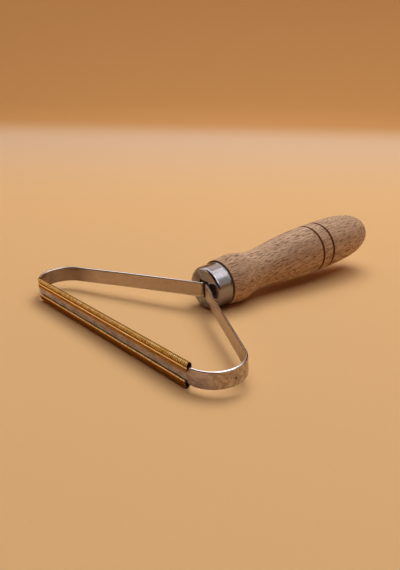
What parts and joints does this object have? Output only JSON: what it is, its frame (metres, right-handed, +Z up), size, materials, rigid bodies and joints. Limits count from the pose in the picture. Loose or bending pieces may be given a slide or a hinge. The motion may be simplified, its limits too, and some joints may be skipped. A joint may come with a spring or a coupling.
{
  "type": "lint scraper",
  "caption": "Manual lint scraper: a flat steel strap bent to a triangle with ribbed brass strips folded over its front edges, a polished ferrule and a turned wooden handle.",
  "frame": {"origin": "on the table that it lies on, under the middle of its bounding box", "axes": "+Y from the triangular head to the end of the handle, +X along the head's front side, +Z up from the table; the head and the handle's axis rise towards +Y by 4.7 degrees, as the tool rests on its lower strip and on the handle's shoulder"},
  "size_m": [0.14, 0.1796, 0.0317],
  "materials": {
    "beech_wood": "bare turned beech with short dark flecks along the grain, barely sealed",
    "polished_steel": "polished, with fine handling marks",
    "stainless_steel": "satin strip steel with smooth rolled edges",
    "aged_brass": "finely ribbed across, dark in the valleys and worn bright on the ribs",
    "hardened_adhesive": "hardened amber adhesive, not seen"
  },
  "bodies": {
    "root": {"handle": "beech_wood", "ferrule": "polished_steel", "frame_strap": "stainless_steel", "upper_strip": "aged_brass", "lower_strip": "aged_brass", "bore_adhesive": "hardened_adhesive"}
  },
  "joints": []
}
